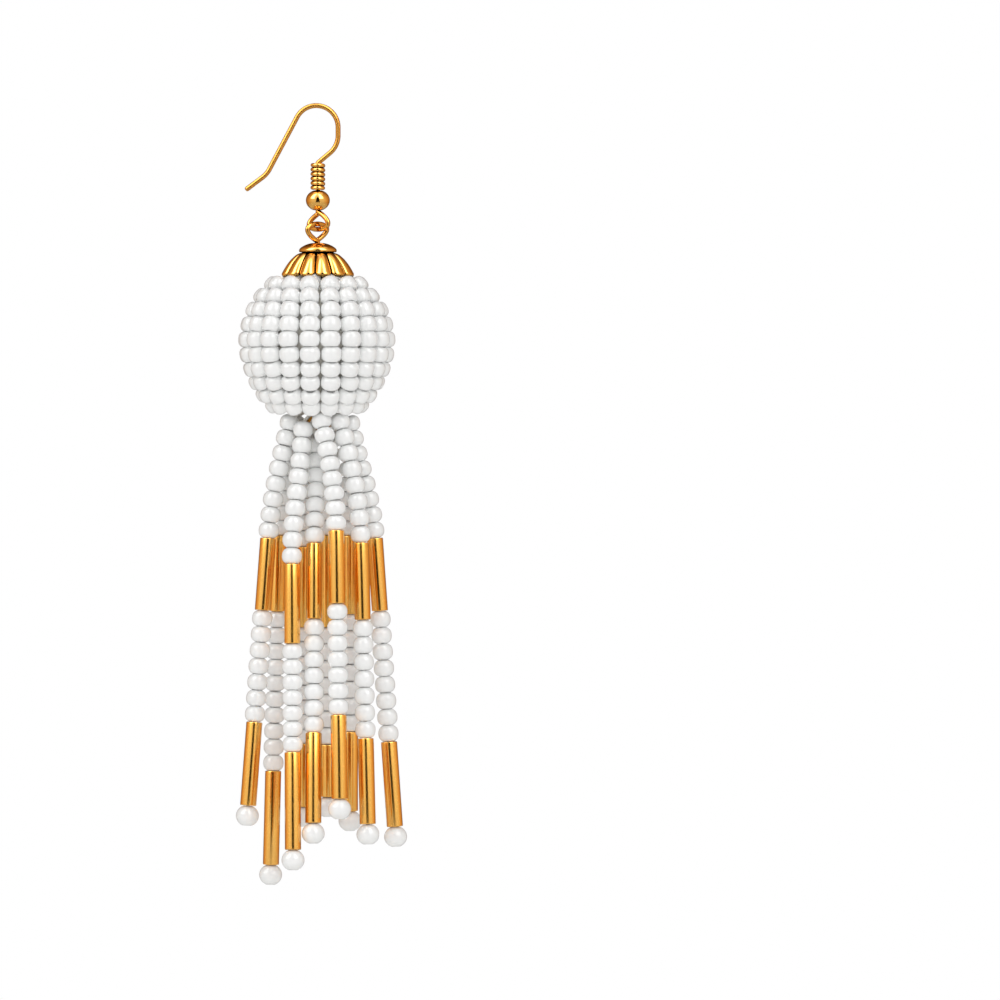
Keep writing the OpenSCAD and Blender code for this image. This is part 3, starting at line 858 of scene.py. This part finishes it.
# %% Beaded ball
random.seed(7)
RINGS = [  # ring radius, height over the middle, tip in degrees, beads, turn, bead radius, height
    (3.70, 8.75, 0.0, 8, -8.5, 1.33, 2.10),
    (5.95, 8.17, 0.0, 13, -8.5, 1.40, 2.22), (7.46, 6.51, 0.0, 17, -6.5, 1.41, 2.26),
    (8.60, 4.65, 0.0, 19, -5.1, 1.43, 2.26), (9.28, 2.69, 0.0, 20, -5.2, 1.45, 2.24),
    (9.60, 0.70, 0.4, 20, -5.2, 1.46, 2.28), (9.42, -1.33, 0.8, 20, -5.2, 1.46, 2.24),
    (8.94, -3.29, 1.3, 20, -5.2, 1.42, 2.16), (8.15, -5.08, 2.0, 18, -5.1, 1.41, 2.10),
    (7.18, -6.80, 4.0, 17, -5.4, 1.38, 2.06), (6.00, -8.27, 5.0, 15, -6.8, 1.33, 2.04)]
NET_SHIFT = -0.15            # the net sits this far to the left on its core
SWAY = 0.035                 # how far a bead leans out of line, as a slope


def unit_bead(steps, sides, squareness):
    """A seed bead of radius 1 and height 2, to be scaled: its points and faces."""
    return turned(oval_outline(1.0, 2.0, 0.34, 0.50, squareness, steps), sides)


def set_down(prototype, beads):
    """Copies of one bead as a single mesh. Each bead is (centre, axis, radius, height)."""
    shape, faces = prototype
    all_points, all_faces, tones = [], [], []
    for n, (centre, axis, radius, height) in enumerate(beads):
        sway = Vector((random.uniform(-1, 1), random.uniform(-1, 1), 0)) * SWAY
        turn = upright_along(Vector(axis).normalized() + sway, random.uniform(0, 6.28))
        width = radius * random.uniform(0.988, 1.0)
        scale = (width, width, height / 2 * random.uniform(0.975, 0.995))
        all_points.append((shape * scale) @ turn.T + np.array(centre))
        all_faces.append(faces + n * len(shape))
        tones.append(np.full(len(shape), random.uniform(0.0, 0.3)))
    return np.concatenate(all_points), np.concatenate(all_faces), np.concatenate(tones)


ball_beads = []
for n, (ring_r, up, tip, count, turn, bead_r, bead_h) in enumerate(RINGS):
    # Beads lean with the rings above and below. The hidden ring has no say in the next one's lean.
    above = RINGS[max(n - 1, min(n, 1))]
    below = RINGS[min(n + 1, len(RINGS) - 1)]
    slope = Vector((above[0] - below[0], above[1] - below[1])).normalized()
    for k in range(count):
        a = math.radians(turn - 90 + 360 * k / count + random.uniform(-0.6, 0.6))
        out = Vector((math.cos(a), math.sin(a), 0))
        rise = up + ring_r * math.sin(a) * math.tan(math.radians(tip))
        centre = out * ring_r + Vector((STEM_X + NET_SHIFT, 0, BALL_Z + rise))
        ball_beads.append((centre, out * slope.x + Vector((0, 0, slope.y)), bead_r, bead_h))

points, faces, tones = set_down(unit_bead((11, 5), 30, 2.8), ball_beads)
settle(body_of_mesh("seed_bead_ball", points, faces, tones), white_glass, "drop", "white_glass",
       "ball_net")
print("ball", len(ball_beads), "beads,", 2 * len(faces), "triangles")

# %% [markdown]
# ## The ten strings of the tassel
#
# Each string leaves the pin under the ball, bows outwards to a hip, and then hangs
# straight: seed beads, a bugle, seed beads, a second bugle and one larger round
# bead. The route is the CAD source's own: three points and a slope. Beads sit on
# it one after another, each square to the thread, as gravity pulls them down.

# %% Routes
# The top of the first bead, the hip where the upper bugle starts, the end, the length of the
# upper bugle, the top and length of the lower one, and how strongly the string swings out.
BeadString = namedtuple(
    "BeadString", "top_x top_y top_z hip_x hip_y hip_z end_x end_y upper lower_z lower swing")
STRINGS = [BeadString(*row) for row in (
    (-3.5, -0.5, -43.3, -6.7, -1.2, -60.2, -9.6, -2.0, 10.1, -85.9, 11.7, 1.3),
    (-1.7, -2.8, -43.9, -3.3, -5.9, -63.8, -3.1, -8.6, 11.1, -90.0, 13.6, 0.6),
    (0.1, -0.4, -46.2, -0.2, -4.1, -60.9, -0.3, -8.0, 10.6, -87.3, 12.6, 0),
    (0.7, -4.4, -43.3, 2.9, -6.7, -59.1, 3.4, -8.4, 10.2, -84.8, 11.7, 1.6),
    (3.2, -2.9, -43.3, 6.3, -4.6, -60.8, 7.3, -5.8, 10.8, -88.1, 12.0, 1.6),
    (4.6, -0.4, -43.5, 8.2, -0.2, -60.2, 11.1, 0.2, 10.2, -88.7, 11.9, 0.9),
    (-2.9, 2.4, -43.3, -5.3, 4.0, -59.8, -6.5, 5.4, 10.7, -92.9, 13.2, 0.8),
    (-0.7, 4.4, -43.7, -1.9, 6.2, -61.4, -1.9, 8.4, 11.3, -89.1, 8.9, 0.8),
    (2.2, 4.4, -43.7, 1.4, 4.9, -59.8, 1.5, 6.6, 12.9, -89.2, 7.4, 0.8),
    (4.4, 2.5, -43.7, 4.7, 4.4, -59.8, 4.6, 8.0, 11.0, -87.4, 11.2, 0.4))]
# How many seed beads each string has over its upper and over its lower bugle.
SEEDS = [(8, 7), (9, 7), (7, 7), (8, 7), (8, 7), (8, 8), (8, 10), (8, 8), (8, 7), (8, 7)]
# How far each string's first bead tucks up between the beads of the ball.
TUCK = [0.3, 0.0, 0.0, 0.45, 0.45, 0.4, 0.3, 0.4, 0.4, 0.4]
BEAD_GAP = 0.03
END_BEAD = (3.2, 2.76)         # diameter and height
BUGLE_R, BUGLE_BORE_R = 1.13, 0.55
THREAD_R = 0.25


def end_height(s):
    """The height of the round end bead's middle."""
    return s.lower_z - s.lower - BEAD_GAP - END_BEAD[1] / 2


def on_string(s, z):
    """The point of a string at a height: a soft bow down to the hip, and straight below it."""
    fall = s.hip_z - end_height(s)
    lean_x, lean_y = (s.end_x - s.hip_x) / fall, (s.end_y - s.hip_y) / fall
    if z <= s.hip_z:
        return Vector((s.hip_x + (s.hip_z - z) * lean_x, s.hip_y + (s.hip_z - z) * lean_y, z))
    run = s.top_z - s.hip_z
    t = (s.top_z - z) / run
    e = ease(t) + s.swing * (t - 2 * t ** 2 + t ** 3)
    bow = (t ** 3 - t ** 2) * run
    return Vector((s.top_x + (s.hip_x - s.top_x) * e + bow * lean_x,
                   s.top_y + (s.hip_y - s.top_y) * e + bow * lean_y, z))


def strung(s, top, bottom, count, radius):
    """Beads laid end to end on a string between two heights."""
    heights = np.linspace(top, bottom, 61)
    line = [on_string(s, z) for z in heights]
    run = np.concatenate([[0], np.cumsum([(b - a).length for a, b in zip(line, line[1:])])])
    beads = []
    for k in range(count):
        z = float(np.interp((k + 0.5) / count * run[-1], run, heights))
        axis = on_string(s, z + 0.2) - on_string(s, z - 0.2)
        beads.append((on_string(s, z), axis, radius, run[-1] / count))
    return beads


print("ten strings, the longest ends at", round(min(end_height(s) for s in STRINGS), 2), "mm")

# %% Strings of seed beads and their threads
STRING_SEED_R = 1.43
seed = unit_bead((15, 6), 36, 2.4)
for n, (s, (upper, lower), tuck) in enumerate(zip(STRINGS, SEEDS, TUCK), start=1):
    beads = strung(s, s.top_z + tuck, s.hip_z, upper, STRING_SEED_R)
    beads += strung(s, s.hip_z - s.upper, s.lower_z, lower, STRING_SEED_R)
    points, faces, tones = set_down(seed, beads)
    settle(body_of_mesh(f"seed_string_{n}", points, faces, tones), white_glass, "drop",
           "white_glass", f"strand_{n}")

    # The thread starts on the collar, and is tied off inside the hole of the end bead.
    way = Vector((s.top_x - STEM_X, s.top_y, 0)).normalized() * (COLLAR_R + THREAD_R + BEAD_GAP)
    knot_z = end_height(s) - END_BEAD[1] / 2 + 0.3
    path = [(STEM_X + way.x, way.y, collar_top - COLLAR_H / 2),
            (STEM_X + way.x, way.y, s.top_z + 1)]
    path += [on_string(s, z) for z in np.linspace(s.top_z, knot_z, 60)]
    settle(wire(f"string_thread_{n}", path, THREAD_R), nylon_thread, "drop", "thread")
print("seed beads on the strings:", sum(a + b for a, b in SEEDS))

# %% [markdown]
# ## Bugles and end beads
#
# A bugle is cane cut to length and then fired, so its cut ends are rounded over by
# about a tenth of a millimetre and are not perfectly square. Each one is turned
# about its own axis and then laid along its string, so that the draw lines of its
# finish run along it. The end bead is rounder than a seed bead, and its hole shows
# from below.

# %% Bugles and end beads
BUGLE_LIP = 0.13


def bugle_outline(length):
    """The outline of a cut and fired tube with rounded lips."""
    half, outline = length / 2, []
    for way in (-1, 1):
        for k in range(5):
            t = math.radians(22.5 * k)
            corner = (BUGLE_R - BUGLE_LIP, way * (half - BUGLE_LIP))
            across, up = (math.sin(t), math.cos(t)) if way < 0 else (math.cos(t), math.sin(t))
            outline.append((corner[0] + BUGLE_LIP * across, corner[1] + way * BUGLE_LIP * up))
    chamfer = BUGLE_BORE_R + 0.08
    outline += [(chamfer, half), (BUGLE_BORE_R, half - 0.08),
                (BUGLE_BORE_R, 0.08 - half), (chamfer, -half)]
    return outline


def lay_along(piece, low, high):
    """Moves a piece made about the origin so that its Z runs from one point to the other."""
    turn = Vector((0, 0, 1)).rotation_difference(high - low).to_matrix().to_4x4()
    spin = Matrix.Rotation(random.uniform(0, 6.28), 4, "Z")
    piece.matrix_world = Matrix.Translation((low + high) / 2 * MM) @ turn @ spin


end_outline = oval_outline(END_BEAD[0] / 2, END_BEAD[1], 0.42, 0.62, 2.0, (24, 6))
for n, s in enumerate(STRINGS, start=1):
    for row, top, length in (("upper", s.hip_z, s.upper), ("lower", s.lower_z, s.lower)):
        high, low = on_string(s, top), on_string(s, top - length)
        points, faces = turned(bugle_outline((high - low).length), 64)
        slant = random.uniform(-0.04, 0.04)
        points[:, 2] -= abs(slant) * np.sign(points[:, 2]) * (1 - points[:, 0] / BUGLE_R) / 2
        tube = body_of_mesh(f"bugle_tube_{row}_{n}", points, faces)
        lay_along(tube, low, high)
        settle(tube, gold_glass, "drop", "gold_bugle", f"bugle_{row}_{n}")
    points, faces = turned(end_outline, 48)
    middle = end_height(s)
    upright = upright_along(on_string(s, middle + 1) - on_string(s, middle - 1))
    points = points @ upright.T + np.array(on_string(s, middle))
    tones = np.full(len(points), random.uniform(0.0, 0.3))
    settle(body_of_mesh(f"round_end_bead_{n}", points, faces, tones), white_glass, "drop",
           "white_glass", f"end_bead_{n}")
print("twenty bugles and ten end beads")

# %% [markdown]
# ## Picture settings
#
# The photo keeps pure white and full orange as they are, so the plain Standard
# view is used, which doesn't bend bright colours.

# %% Finish
bpy.context.scene.view_settings.view_transform = "Standard"
